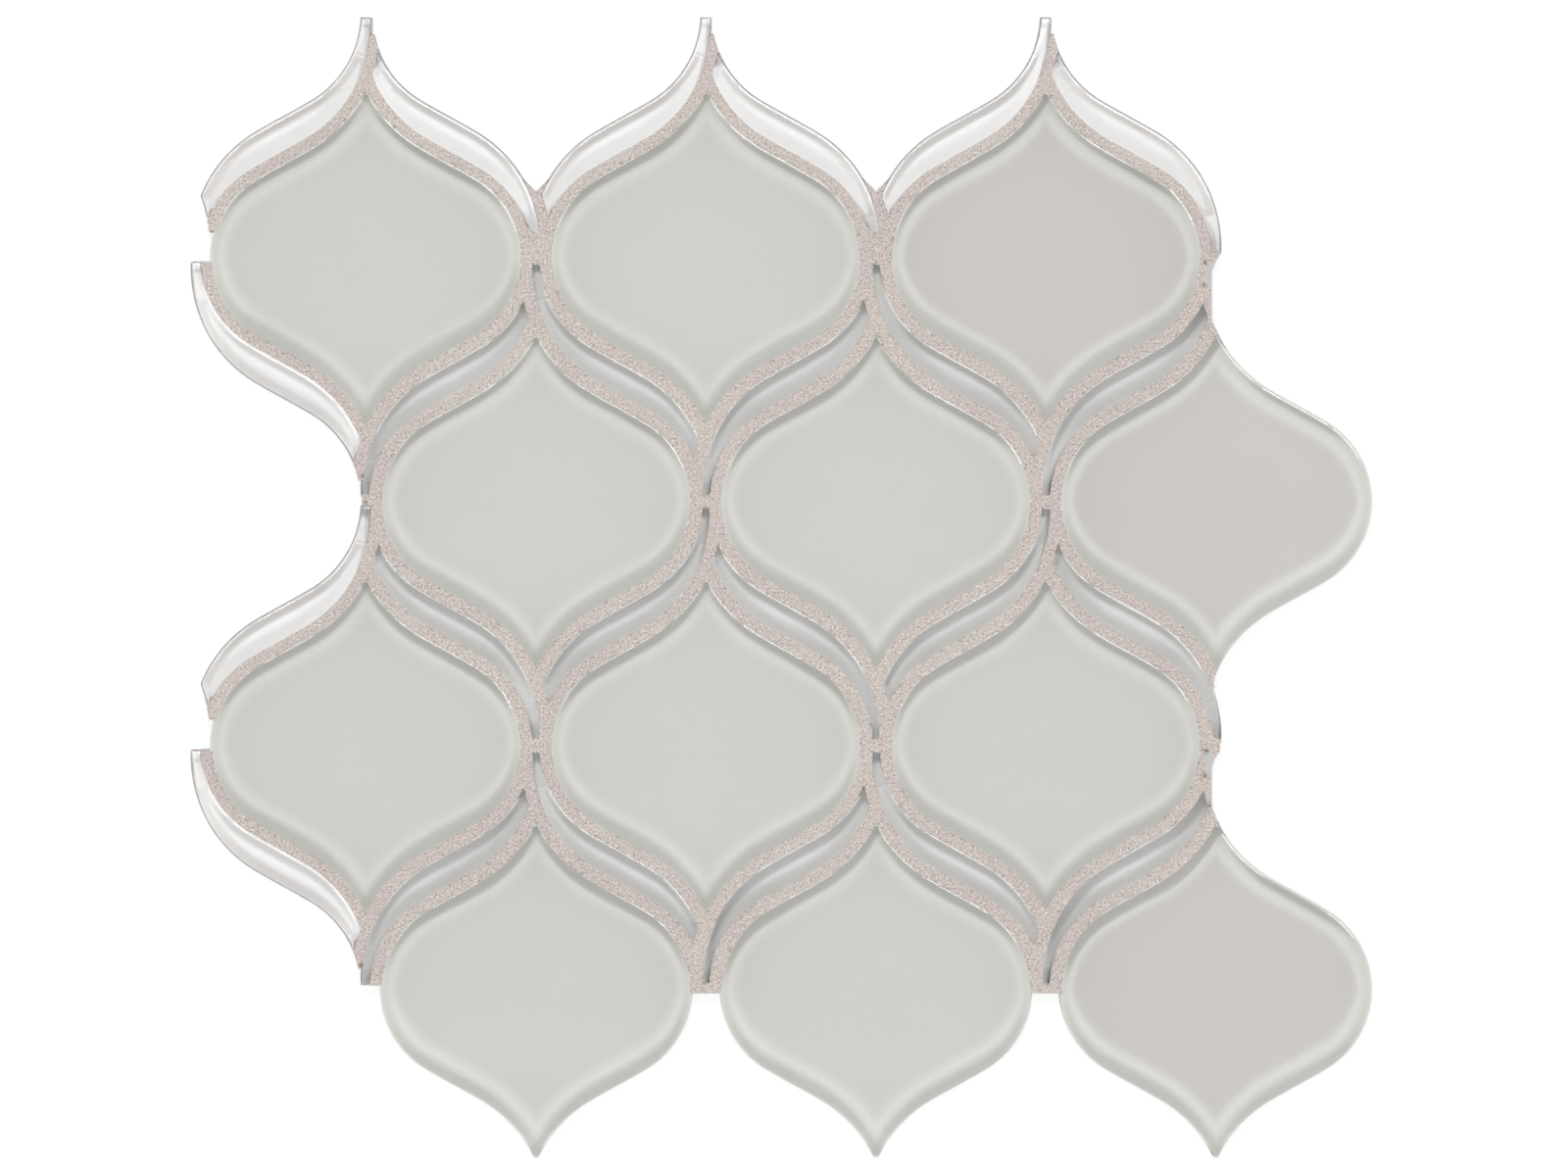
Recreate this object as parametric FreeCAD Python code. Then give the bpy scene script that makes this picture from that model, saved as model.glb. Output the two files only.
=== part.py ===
import FreeCAD, Part
import math
import os

# Mosaic sheet of lantern-shaped glass tiles with slim S-shaped glass strips between them.
# X runs along a row, Y from the bottom row to the top row, Z from the backing to the face.

# Layout: even rows stand half a pitch to the right of odd rows
ROWS = 4
COLUMNS = 3

# Lantern outline, sizes in mm and angles in degrees, measured before the tips are rounded
LANTERN_WIDTH = 79.14
LANTERN_HEIGHT = 87.3
SHOULDER_RADIUS = 23.6
SHOULDER_SWEEP = 60.65
NECK_RADIUS = 34.85
TIP_RADIUS = 0.8

# Gaps: between neighbours in a row, from a tip to the middle of the neck above it, grout joints, and
# from the middle of a neck to the ground-off point of a strip
NECK_GAP = 6.86
TIP_TO_NECK = 18.1
JOINT = 2.0
POINT_SETBACK = 9.5

# Heights
BACKING_THICKNESS = 0.4
GLASS_THICKNESS = 8.0
GROUT_RECESS = 0.7

# Where the grout ends along the bare edges of the sheet, measured from the middle of a neck
VALLEY_FILL = 16.7
WEDGE_STOP = 5.25
POINT_STOP = 6.5
BOTTOM_SPILL = 1.0

# Grout that ties strip ends together at the necks on the bare sides: how far it stands off a lantern's
# side, how far it runs down, and how far it stays behind the side of the strips
BRIDGE_WIDTH = 2.4
BRIDGE_DROP = 16.5
BRIDGE_RECESS = 0.3

# Distances that follow from the sizes above
HALF_WIDTH = LANTERN_WIDTH / 2
HALF_HEIGHT = LANTERN_HEIGHT / 2
PITCH = LANTERN_WIDTH + NECK_GAP
ROW_PITCH = HALF_HEIGHT + TIP_TO_NECK
GLASS_BOTTOM = BACKING_THICKNESS
GLASS_TOP = BACKING_THICKNESS + GLASS_THICKNESS
GROUT_TOP = GLASS_TOP - GROUT_RECESS
WHOLE_SHEET = PITCH * (COLUMNS + ROWS)


def point(x, y):
    return FreeCAD.Vector(x, y, 0)


def polar(centre, radius, degrees):
    angle = math.radians(degrees)
    return centre + point(radius * math.cos(angle), radius * math.sin(angle))


def arc(centre, radius, start, end):
    """An arc edge about centre, from one angle to another."""
    middle = polar(centre, radius, (start + end) / 2)
    return Part.Arc(polar(centre, radius, start), middle, polar(centre, radius, end)).toShape()


def line(start, end):
    return Part.makeLine(start, end)


def face_of(edges):
    return Part.Face(Part.Wire(Part.__sortEdges__(edges)))


def polygon(corners):
    return Part.Face(Part.makePolygon(corners + corners[:1]))


def rectangle(left, right, bottom, top):
    return polygon([point(left, bottom), point(right, bottom), point(right, top), point(left, top)])


def disc(centre, radius):
    return Part.Face(Part.Wire(Part.makeCircle(radius, centre)))


def slab(face, bottom, top):
    """A flat face made solid between two heights."""
    solid = face.extrude(FreeCAD.Vector(0, 0, top - bottom))
    solid.translate(FreeCAD.Vector(0, 0, bottom))
    return solid


# The upper right quarter of the outline: a shoulder arc about SHOULDER_CENTRE, a straight flank
# that touches it, and a hollow neck arc about NECK_CENTRE that touches the flank and ends in the tip.
SHOULDER_CENTRE = point(HALF_WIDTH - SHOULDER_RADIUS, 0)
FLANK_REACH = SHOULDER_CENTRE.x * math.cos(math.radians(SHOULDER_SWEEP)) + SHOULDER_RADIUS
TIP_REACH = HALF_HEIGHT * math.sin(math.radians(SHOULDER_SWEEP))
NECK_SWEEP = math.degrees(math.acos((FLANK_REACH + NECK_RADIUS - TIP_REACH) / NECK_RADIUS))
TIP_ANGLE = SHOULDER_SWEEP - NECK_SWEEP
TIP = point(0, HALF_HEIGHT)
NECK_CENTRE = polar(TIP, NECK_RADIUS, TIP_ANGLE)

# Beyond the tip the joint runs on in an arc that turns upright at the side of the neck.
TIP_RUN_RADIUS = (NECK_GAP / 2) / (1 - math.cos(math.radians(TIP_ANGLE)))
TIP_RUN_CENTRE = polar(TIP, TIP_RUN_RADIUS, TIP_ANGLE)
NEIGHBOUR = point(PITCH / 2, ROW_PITCH)

# How far below its sharp tip a lantern's rounding begins, with some room
TIP_ROUNDING = 1.5 * TIP_RADIUS / math.tan(math.radians(TIP_ANGLE))


def quarter_edges(clearance):
    """The quarter outline moved outwards by a clearance, from the side to the tip."""
    shoulder_radius = SHOULDER_RADIUS + clearance
    neck_radius = NECK_RADIUS - clearance
    shoulder_end = polar(SHOULDER_CENTRE, shoulder_radius, SHOULDER_SWEEP)
    neck_start = polar(NECK_CENTRE, neck_radius, 180 + SHOULDER_SWEEP)
    return [
        arc(SHOULDER_CENTRE, shoulder_radius, 0, SHOULDER_SWEEP),
        line(shoulder_end, neck_start),
        arc(NECK_CENTRE, neck_radius, 180 + SHOULDER_SWEEP, 180 + TIP_ANGLE),
    ]


def mirrored(shape, normal):
    return shape.mirror(FreeCAD.Vector(0, 0, 0), normal)


def turned_about(shape, centre):
    """A copy turned half a turn about a point."""
    copy = shape.copy()
    copy.rotate(centre, FreeCAD.Vector(0, 0, 1), 180)
    return copy


def lantern_face():
    """The outline with sharp tips."""
    quarter = quarter_edges(0)
    right = quarter + [mirrored(edge, FreeCAD.Vector(0, 1, 0)) for edge in quarter]
    left = [mirrored(edge, FreeCAD.Vector(1, 0, 0)) for edge in right]
    return face_of(right + left)


def is_tip_edge(edge):
    """Whether an edge stands upright on the middle line, where the two tips are."""
    return all(abs(vertex.X) < TIP_RADIUS / 100 for vertex in edge.Vertexes)


def make_lantern():
    solid = slab(lantern_face(), GLASS_BOTTOM, GLASS_TOP)
    return solid.makeFillet(TIP_RADIUS, [edge for edge in solid.Edges if is_tip_edge(edge)])


def half_channel(clearance):
    """The lower lantern's side of the gap below its upper right neighbour, as one run of edges.

    Both ends run on upright, past the middles of the necks.
    """
    run_radius = TIP_RUN_RADIUS - clearance
    upright = polar(TIP_RUN_CENTRE, run_radius, 180)
    top = max(ROW_PITCH, upright.y) + NECK_GAP
    side = point(HALF_WIDTH + clearance, 0)
    lowest = point(side.x, ROW_PITCH - top)
    edges = [line(lowest, side)] + quarter_edges(clearance)
    edges.append(arc(TIP_RUN_CENTRE, run_radius, 180 + TIP_ANGLE, 180))
    edges.append(line(upright, point(upright.x, top)))
    return edges, lowest, point(upright.x, top)


def channel(lower, upper):
    """The S-shaped gap between a lantern and its upper right neighbour, less a clearance each side."""
    low_edges, low_end, low_top = half_channel(lower)
    high_edges, high_end, high_top = half_channel(upper)
    high_edges = [turned_about(edge, NEIGHBOUR / 2) for edge in high_edges]
    caps = [line(low_top, NEIGHBOUR - high_end), line(low_end, NEIGHBOUR - high_top)]
    return face_of(low_edges + high_edges + caps)


def between(face, bottom, top):
    return face.common(rectangle(-WHOLE_SHEET, WHOLE_SHEET, bottom, top))


def beyond_point():
    """What lies left of the run past the lower lantern's tip. It cuts a strip's upper end to a point.
    The strip with its pointed end below is the same one turned about the middle of the gap."""
    middle = point(-TIP_RUN_CENTRE.x, TIP_RUN_CENTRE.y)
    beside = rectangle(middle.x, NECK_GAP / 2, middle.y, ROW_PITCH + TIP_RUN_CENTRE.y)
    return disc(middle, TIP_RUN_RADIUS).fuse(beside)


def make_strip(pointed_top):
    """A strip that runs from upper left to lower right, with one square and one pointed end."""
    outline = channel(JOINT, JOINT).cut(beyond_point())
    solid = slab(between(outline, JOINT / 2, ROW_PITCH - POINT_SETBACK), GLASS_BOTTOM, GLASS_TOP)
    return solid if pointed_top else turned_about(solid, NEIGHBOUR / 2)


def lantern_place(row, column):
    """The middle of a lantern. Row 1 is the top row, and column 0 stands left of the sheet."""
    shift = 0 if row % 2 else PITCH / 2
    return point((column - 1) * PITCH + shift, -(row - 1) * ROW_PITCH)


def has_lantern(row, column):
    return 1 <= row <= ROWS and 1 <= column <= COLUMNS


def upper_neighbour(side, row, column):
    """Row and column of the lantern above, on the left or on the right."""
    if side == "left":
        return row - 1, column - 1 if row % 2 else column
    return row - 1, column if row % 2 else column + 1


def strip_is_there(side, row, column):
    """Every lantern has a strip on its upper left. On its upper right it has one in odd rows,
    and in even rows where a lantern stands above. A bare left edge has the strip of the
    lantern that would come before it."""
    if side == "left":
        return has_lantern(row, column)
    if row % 2:
        return has_lantern(row, column)
    return 1 <= row <= ROWS and 0 <= column < COLUMNS


def all_strips():
    columns = range(COLUMNS + 1)
    places = [(side, r, c) for side in ("left", "right") for r in range(1, ROWS + 1) for c in columns]
    return [place for place in places if strip_is_there(*place)]


def pointed_on_top(side, row):
    """Odd rows point upwards on the right and even rows on the left."""
    return (side == "right") == (row % 2 == 1)


def placed(shape, side, row, column):
    """A strip or a stretch of grout, mirrored for the left side and moved to its lantern."""
    copy = mirrored(shape, FreeCAD.Vector(1, 0, 0)) if side == "left" else shape.copy()
    copy.translate(lantern_place(row, column))
    return copy


def row_neighbour(side, row, column):
    """The lantern beside this one, on the strip's side."""
    return row, column + (1 if side == "right" else -1)


def joint_face(side, row, column, lower, upper):
    """The grouted gap along one strip, in the strip's own place. Both clearances are 0 where there
    is a lantern, and where there is none the gap ends at the strip."""
    pointed_top = pointed_on_top(side, row)
    other = "left" if side == "right" else "right"
    above = upper_neighbour(side, row, column)
    above_other = upper_neighbour(other, row, column)
    beside = row_neighbour(side, row, column)
    face = channel(lower, upper)
    top = ROW_PITCH if has_lantern(*above) and has_lantern(*above_other) else ROW_PITCH - JOINT / 2
    bottom = 0 if has_lantern(*beside) and has_lantern(row, column) else JOINT / 2
    if pointed_top and not strip_is_there(other, row, column):
        face = face.cut(beyond_point())
        top = ROW_PITCH - POINT_STOP
    if not pointed_top and not strip_is_there(other, *beside):
        face = face.cut(turned_about(beyond_point(), NEIGHBOUR / 2))
        bottom = POINT_STOP
    return between(face, bottom, top)


def neck_face(middle):
    """The grout between two lanterns of a row, with a notch at its upper end."""
    half = NECK_GAP / 2
    low, high = middle.y - BOTTOM_SPILL, middle.y + VALLEY_FILL
    lower = [point(middle.x - half, low), point(middle.x + half, low)]
    upper = [point(middle.x + half, high + half), point(middle.x, high), point(middle.x - half, high + half)]
    return polygon(lower + upper)


def grout_face():
    """All joints together, before the glass is taken out of them."""
    faces = []
    for side, row, column in all_strips():
        lower = 0 if has_lantern(row, column) else JOINT
        upper = 0 if has_lantern(*upper_neighbour(side, row, column)) else JOINT
        faces.append(placed(joint_face(side, row, column, lower, upper), side, row, column))
    for row in range(1, ROWS + 1):
        for column in range(1, COLUMNS):
            faces.append(neck_face(lantern_place(row, column) + point(PITCH / 2, 0)))
    return faces


def tip_faces():
    """The sharp ends of the lanterns' outlines. Grout fills them up to the rounded tips, except at
    the bare lower tips of the last row."""
    upper_tip = between(lantern_face(), HALF_HEIGHT - TIP_ROUNDING, HALF_HEIGHT)
    lower_tip = turned_about(upper_tip, point(0, 0))
    faces = []
    for row in range(1, ROWS + 1):
        for column in range(1, COLUMNS + 1):
            for tip in (upper_tip, lower_tip) if row < ROWS else (upper_tip,):
                copy = tip.copy()
                copy.translate(lantern_place(row, column))
                faces.append(copy)
    return faces


def bare_side(row, column):
    """Where a lantern is missing beside the sheet, the grout keeps off its shoulders and its sides."""
    place = lantern_place(row, column)
    radius = SHOULDER_RADIUS + JOINT
    shoulders = [disc(place + SHOULDER_CENTRE, radius), disc(place - SHOULDER_CENTRE, radius)]
    left, right = place.x - PITCH / 2, place.x + PITCH / 2
    return shoulders + [rectangle(left, right, place.y - WEDGE_STOP, place.y + WEDGE_STOP)]


def missing_lanterns():
    around = [(r, c) for r in range(ROWS + 2) for c in range(COLUMNS + 2)]
    return [place for place in around if not has_lantern(*place)]


def bridges():
    """Grout at the necks on the bare sides, from a strip's end to the next strip. Odd rows have it on
    the right, and even rows on the left where a row follows."""
    faces = []
    for row in range(1, ROWS + 1):
        first, last = lantern_place(row, 1), lantern_place(row, COLUMNS)
        if row % 2:
            side = last.x + HALF_WIDTH
            low, high = last.y - BRIDGE_DROP, last.y + JOINT / 2
            faces.append(rectangle(side - JOINT, side + BRIDGE_WIDTH, low, high))
        elif row < ROWS:
            side = first.x - HALF_WIDTH
            bare = side - NECK_GAP + JOINT + BRIDGE_RECESS
            faces.append(rectangle(bare, side + JOINT, first.y - JOINT / 2, first.y + JOINT / 2))
    return faces


def joint_bed(bottom, top):
    """All joints as one slab, kept off the bare sides of the sheet and bridged at their necks."""
    stretches = [slab(face, bottom, top) for face in grout_face() + tip_faces()]
    bed = stretches[0].fuse(stretches[1:])
    for row, column in missing_lanterns():
        bed = bed.cut([slab(face, bottom, top) for face in bare_side(row, column)])
    return bed.fuse([slab(face, bottom, top) for face in bridges()])


def make_grout(glass):
    return joint_bed(GLASS_BOTTOM, GROUT_TOP).cut(glass).removeSplitter()


def make_backing():
    """The woven backing as a thin sheet under the joints and the lanterns."""
    sheets = []
    for row in range(1, ROWS + 1):
        for column in range(1, COLUMNS + 1):
            sheet = slab(lantern_face(), 0, BACKING_THICKNESS)
            sheet.translate(lantern_place(row, column))
            sheets.append(sheet)
    return joint_bed(0, BACKING_THICKNESS).fuse(sheets).removeSplitter()


def make_pieces():
    pieces = {}
    lantern = make_lantern()
    for row in range(1, ROWS + 1):
        for column in range(1, COLUMNS + 1):
            copy = lantern.copy()
            copy.translate(lantern_place(row, column))
            pieces[f"lantern_r{row}_c{column}"] = copy
    strips = {True: make_strip(True), False: make_strip(False)}
    for side, row, column in all_strips():
        name = f"strip_{side}_r{row}_c{column}"
        pieces[name] = placed(strips[pointed_on_top(side, row)], side, row, column)
    pieces["grout"] = make_grout(list(pieces.values()))
    pieces["mesh_backing"] = make_backing()
    return pieces


def to_origin(pieces):
    """The sheet moved so that the middle of its underside is the origin."""
    box = Part.makeCompound(list(pieces.values())).optimalBoundingBox(False)
    for piece in pieces.values():
        piece.translate(point(-box.Center.x, -box.Center.y))


os.makedirs("parts", exist_ok=True)
sheet = make_pieces()
to_origin(sheet)
for name, shape in sheet.items():
    shape.exportStep(f"parts/{name}.step")
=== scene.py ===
import math

import bmesh
import bpy
import numpy as np
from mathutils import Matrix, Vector, geometry, kdtree, noise


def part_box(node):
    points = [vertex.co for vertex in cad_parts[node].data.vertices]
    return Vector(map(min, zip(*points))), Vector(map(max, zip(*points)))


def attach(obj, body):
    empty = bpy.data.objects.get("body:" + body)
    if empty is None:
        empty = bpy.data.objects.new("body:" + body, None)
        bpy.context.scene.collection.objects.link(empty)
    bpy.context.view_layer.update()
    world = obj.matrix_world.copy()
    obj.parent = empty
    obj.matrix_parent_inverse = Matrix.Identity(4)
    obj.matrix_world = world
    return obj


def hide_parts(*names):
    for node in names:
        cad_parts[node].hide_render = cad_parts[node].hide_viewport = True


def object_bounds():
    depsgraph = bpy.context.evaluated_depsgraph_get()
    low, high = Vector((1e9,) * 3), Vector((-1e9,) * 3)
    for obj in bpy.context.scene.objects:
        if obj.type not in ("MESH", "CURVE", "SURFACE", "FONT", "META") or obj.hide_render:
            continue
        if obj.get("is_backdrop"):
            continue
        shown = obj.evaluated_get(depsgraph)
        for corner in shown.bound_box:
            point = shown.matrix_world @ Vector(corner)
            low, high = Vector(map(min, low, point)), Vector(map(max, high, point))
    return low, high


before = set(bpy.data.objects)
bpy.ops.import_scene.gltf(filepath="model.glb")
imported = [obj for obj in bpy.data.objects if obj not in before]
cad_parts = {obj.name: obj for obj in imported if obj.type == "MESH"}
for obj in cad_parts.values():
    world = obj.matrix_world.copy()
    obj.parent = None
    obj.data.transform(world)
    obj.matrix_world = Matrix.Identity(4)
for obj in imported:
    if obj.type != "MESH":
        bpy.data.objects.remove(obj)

CAD_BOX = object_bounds()

# Sizes are in millimetres, and meshes are scaled to metres as they are made.
MM = 0.001

# Lanterns and strips: a rounded rim that runs out into a nearly flat face
ROWS = 4
COLUMNS = 3
RIM_RADIUS = 1.6
FACE_ROLL = 0.07
FACE_ROLL_REACH = 5.0
OUTLINE_STEP = 0.6
FINE_STEP = 0.15
CURVE_PARTS = 12
CORNER_TURN = math.radians(24)
RIM_RINGS = (0.06, 0.2, 0.42, 0.72, 1.1, 1.6, 2.4, 3.6, 5.0)
BED_RINGS = (0.5, 1.2, 2.0, 2.8, 3.6, 4.4, 5.4, 6.6, 8.0)
RING_KEPT = 0.97
WELD = 1e-5

# Tolerances for reading the solids' outlines, in metres, and the slope that counts as facing up
SAME_POINT = 1e-7
LEVEL_TOLERANCE = 1e-6
FACING_UP = 0.5

# A painted band of light on the coat inside the rim, standing in for the light the rim gathers:
# nearer at the sides of a piece than at its flanks
PAINTED_LIGHT_BAND = 4.0
BAND_AT_SIDE = 2.8
BAND_ABOVE = 1.6
BAND_BELOW = 2.4
SIDE_GLASS_REACH = 0.4

# Painted light on the coat: lighter along the left and right sides than at the flanks: by how much
# and how far
FLANK_RISE = 0.87
FLANK_FADE = 0.3
FLANK_DIRECTIONS = {"left": (-0.49, 0.87), "right": (0.49, 0.87)}
SQUARE_END = 0.97
LANTERN_SIDE_PAINTED_LIGHT = (0.045, 6.0)
STRIP_SIDE_PAINTED_LIGHT = (0.24, 3.2)

# The coat of an outer strip takes its colour across the strip, with a painted band of shade along
# the bare side, and at the bare side its depth counts back from here
BARE_SIDE_AT = 9.0

# Grout: sand and cement, worked a little way over the rounded rims
GROUT_STEP = 0.5
STRAIGHT_FROM = 5.0
GROUT_LAP = 0.6
GROUT_LAP_WANDER = 0.4
GROUT_LAP_ROUGH = 0.07
OUTER_LAP = 0.25
LAP_SHARES = (0.35, 1.0)
LAP_KEPT = 0.93
GROUT_HOLLOW = 0.06
GROUT_HOLLOW_REACH = 1.0
GROUT_GRAIN = 0.05
GROUT_GRAIN_SIZE = 0.6
GROUT_GRAIN_LAYERS = [(1.0, 1.0, 0), (0.5, 2.3, 5)]
GROUT_CLEARANCE = 0.02
BARE_DISTANCE = 0.12
JUST_OUTSIDE = 0.3
BESIDE = 1.1
QUARTERS = (0, 0.25, 0.5, 0.75)

# Uneven edges and patches, as (waves in each millimetre, layer of the noise)
SLOW_NOISE = (0.05, 3.0)
QUICK_NOISE = (0.9, 8.0)
DIRT_NOISE = (2.0, 1.0)

# The grid of points inside the joints, as shares of its step, and the seed of its jitter
GRID_OFFSET = 0.01
GRID_JITTER = 0.1
GRID_SEED = 7
GRID_KEEP_OFF = 0.55

# The wedge of grout that has broken off beside the last strip of the third row, as a box
BROKEN_OFF = ((109.8, -34.5), (113.2, -21.1))

# Small wedges of grout below the square strip ends at the bare necks on the right, as the corner
# whose place each takes and the wedge's own points, upward
NECK_WEDGES = [
    ((108.9, 85.07), [(108.9, 80.6), (109.5, 82.0), (111.1, 85.07)]),
    ((108.9, -38.42), [(108.9, -45.2), (109.4, -43.5), (110.9, -41.0), (111.1, -38.42)]),
]
NEAR_CORNER = 0.05

# Grout smeared over the lower ends of the long strips in the first row: how wide it gets, and the
# stretch above the middle of the neck that it covers
SMEAR_WIDTH = 1.7
SMEAR_REACH = (0.0, 7.2)
SMEAR_FADE = 1.2
SMEAR_SIDE = 2.4

# Dirt in the broken grout at the bare necks, as (place, radius) in millimetres
DIRT = [
    ((107.2, 82.7), 0.9), ((106.9, 77.0), 0.9), ((107.4, -40.8), 1.0), ((106.9, -47.0), 1.1),
    ((-105.9, 28.9), 1.0), ((-105.3, 21.9), 0.8), ((-106.2, -95.0), 0.9),
]
DIRT_CORE = 1.3
DIRT_EVEN = 0.7

# Clear stubs of strip left in the bare necks on the right, as (lower end, upper end)
STUBS = [((108.2, 78.3), (108.2, 81.8)), ((108.2, -45.2), (108.2, -41.7))]
STUB_REACH = 1.3
STUB_EDGE = 3

# Net under the sheet
NET_PITCH = 5.0
NET_THREAD = 0.8
NET_THREAD_HEIGHT = 0.16
NET_MARGIN = 0.4
NET_SECTION = [(-0.5, 0.0), (-0.25, -0.5), (0.25, -0.5), (0.5, 0.0), (0.25, 0.5), (-0.25, 0.5)]

# Floor, and the camera straight above the sheet
FLOOR_REACH = 4000.0
FLOOR_GAP = 0.05
CAMERA_HEIGHT = 2200.0
CAMERA_SEES_TO = 10000.0
SENSOR = 36.0
VIEW_WIDTH = 396.5
VIEW_CENTRE = (0.66, 0.40)

# Light: the share of the level at which a colour renders as written
WORLD_SHARE = 0.52
LAMP_DISTANCE = 1500.0
LAMPS = {
    "key": {"zenith": 20, "azimuth": 96, "width": 200.0, "share": 0.305},
    "fill": {"zenith": 27.5, "azimuth": 271, "width": 340.0, "share": 0.195},
}
GLINT_ZENITH = 68
GLINT_SHARES = {36: 0.15, 63: 0.18, 90: 0.17, 117: 0.12, 144: 0.07}
GLINT_WIDTH = 560.0
GLINT_HEIGHT = 420.0


def linear(red, green, blue):
    """A colour as seen on a display, 0 to 255, in the shader's own scale."""
    seen = [channel / 255 for channel in (red, green, blue)]
    return tuple(c / 12.92 if c <= 0.04045 else ((c + 0.055) / 1.055) ** 2.4 for c in seen)


# Outlines

def top_loops(node):
    """The closed outlines of a node's highest flat face, each as an array of points."""
    body = bmesh.new()
    body.from_mesh(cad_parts[node].data)
    bmesh.ops.remove_doubles(body, verts=body.verts, dist=SAME_POINT)
    top = max(v.co.z for v in body.verts)
    follow = {}
    for edge in body.edges:
        if any(v.co.z < top - LEVEL_TOLERANCE for v in edge.verts):
            continue
        flat = [loop for loop in edge.link_loops if loop.face.normal.z > FACING_UP]
        if len(flat) == 1:
            start = flat[0].vert
            follow.setdefault(start, []).append(edge.other_vert(start))
    loops = []
    while follow:
        start = next(iter(follow))
        loop = [start]
        after = None
        while after is not start:
            ends = follow[loop[-1]]
            after = ends.pop()
            if not ends:
                del follow[loop[-1]]
            loop.append(after)
        loops.append(np.array([v.co.xy for v in loop[:-1]]) / MM)
    body.free()
    return loops


def lengths(vectors):
    return np.hypot(vectors[..., 0], vectors[..., 1])


def sharp_turns(behind, ahead):
    """The indices where a direction differs much from the one before it."""
    cross = behind[:, 0] * ahead[:, 1] - behind[:, 1] * ahead[:, 0]
    turn = np.abs(np.arctan2(cross, (behind * ahead).sum(1)))
    return list(np.nonzero(turn > CORNER_TURN)[0])


def tangents_of(run):
    """The direction at each point of a run: the one that a circle through its neighbours has."""
    chord = np.diff(run, axis=0)
    long = lengths(chord)[:, None]
    unit = chord / long
    if len(run) == 2:
        return np.vstack([unit, unit])
    inner = unit[:-1] * long[1:] + unit[1:] * long[:-1]
    inner /= lengths(inner)[:, None]
    first = 2 * (unit[0] @ inner[0]) * unit[0] - inner[0]
    last = 2 * (unit[-1] @ inner[-1]) * unit[-1] - inner[-1]
    return np.vstack([first, inner, last])


def evened(run, tangents, step):
    """Evenly spaced points on the smooth curve through a run, without its last point."""
    t = np.linspace(0, 1, CURVE_PARTS + 1)[:-1, None]
    fine = []
    for a, b, m, n in zip(run[:-1], run[1:], tangents[:-1], tangents[1:]):
        size = math.dist(a, b)
        fine.append(
            (2 * t**3 - 3 * t**2 + 1) * a
            + (t**3 - 2 * t**2 + t) * size * m
            + (3 * t**2 - 2 * t**3) * b
            + (t**3 - t**2) * size * n
        )
    fine = np.vstack([*fine, run[-1:]])
    along = np.concatenate([[0], np.cumsum(lengths(np.diff(fine, axis=0)))])
    wanted = np.linspace(0, along[-1], max(1, round(along[-1] / step)) + 1)[:-1]
    return np.column_stack([np.interp(wanted, along, fine[:, k]) for k in (0, 1)])


def evened_open(run, step):
    """Evenly spaced points along an open run that may have corners, without its last point."""
    chords = np.diff(run, axis=0)
    stops = {0, *(k + 1 for k in sharp_turns(chords[:-1], chords[1:])), len(run) - 1}
    for k in np.nonzero(lengths(chords) > STRAIGHT_FROM)[0]:
        stops |= {int(k), int(k) + 1}
    stops = sorted(stops)
    parts = [run[a : b + 1] for a, b in zip(stops[:-1], stops[1:])]
    return np.vstack([evened(part, tangents_of(part), step) for part in parts])


def smoothed(loop, step):
    """A closed outline with even points, smooth along its arcs and sharp at its corners."""
    corners = sharp_turns(loop - np.roll(loop, 1, 0), np.roll(loop, -1, 0) - loop)
    if not corners:
        run = np.vstack([loop[-1:], loop, loop[:2]])
        return evened(run[1:-1], tangents_of(run)[1:-1], step)
    loop = np.roll(loop, -corners[0], 0)
    stops = [corner - corners[0] for corner in corners] + [len(loop)]
    loop = np.vstack([loop, loop[:1]])
    runs = [loop[a : b + 1] for a, b in zip(stops[:-1], stops[1:])]
    return np.vstack([evened(run, tangents_of(run), step) for run in runs])


def outward(outline):
    """The unit normals of an outline that runs anticlockwise."""
    ahead = np.roll(outline, -1, 0) - outline
    behind = outline - np.roll(outline, 1, 0)
    along = ahead / lengths(ahead)[:, None] + behind / lengths(behind)[:, None]
    along /= lengths(along)[:, None]
    return np.column_stack([along[:, 1], -along[:, 0]])


def distance_to(outline, points):
    """The distance from each point to a closed outline."""
    span = np.roll(outline, -1, 0) - outline
    away = points[:, None] - outline
    share = np.clip((away * span).sum(2) / (span**2).sum(1), 0, 1)
    return lengths(away - share[..., None] * span).min(1)


def level_spans(loops, level, axis=1):
    """The stretches of a straight line that lie inside the loops. Axis 1 takes lines of even y."""
    starts = np.vstack(loops)
    ends = np.vstack([np.roll(loop, -1, 0) for loop in loops])
    crossing = (starts[:, axis] <= level) != (ends[:, axis] <= level)
    a, b = starts[crossing], ends[crossing]
    share = (level - a[:, axis]) / (b[:, axis] - a[:, axis])
    met = np.sort(a[:, 1 - axis] + share * (b[:, 1 - axis] - a[:, 1 - axis]))
    return list(zip(met[::2], met[1::2]))


def inside(loops, points):
    """Whether each point lies in the region that the loops bound."""
    found = np.zeros(len(points), bool)
    starts = np.vstack(loops)
    ends = np.vstack([np.roll(loop, -1, 0) for loop in loops])
    for a, b in zip(starts, ends):
        if a[1] == b[1]:
            continue
        level = (a[1] <= points[:, 1]) != (b[1] <= points[:, 1])
        reach = a[0] + (points[:, 1] - a[1]) * (b[0] - a[0]) / (b[1] - a[1])
        found ^= level & (points[:, 0] < reach)
    return found


def open_edges(ids):
    return list(zip(ids[:-1], ids[1:]))


# Meshes

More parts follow.
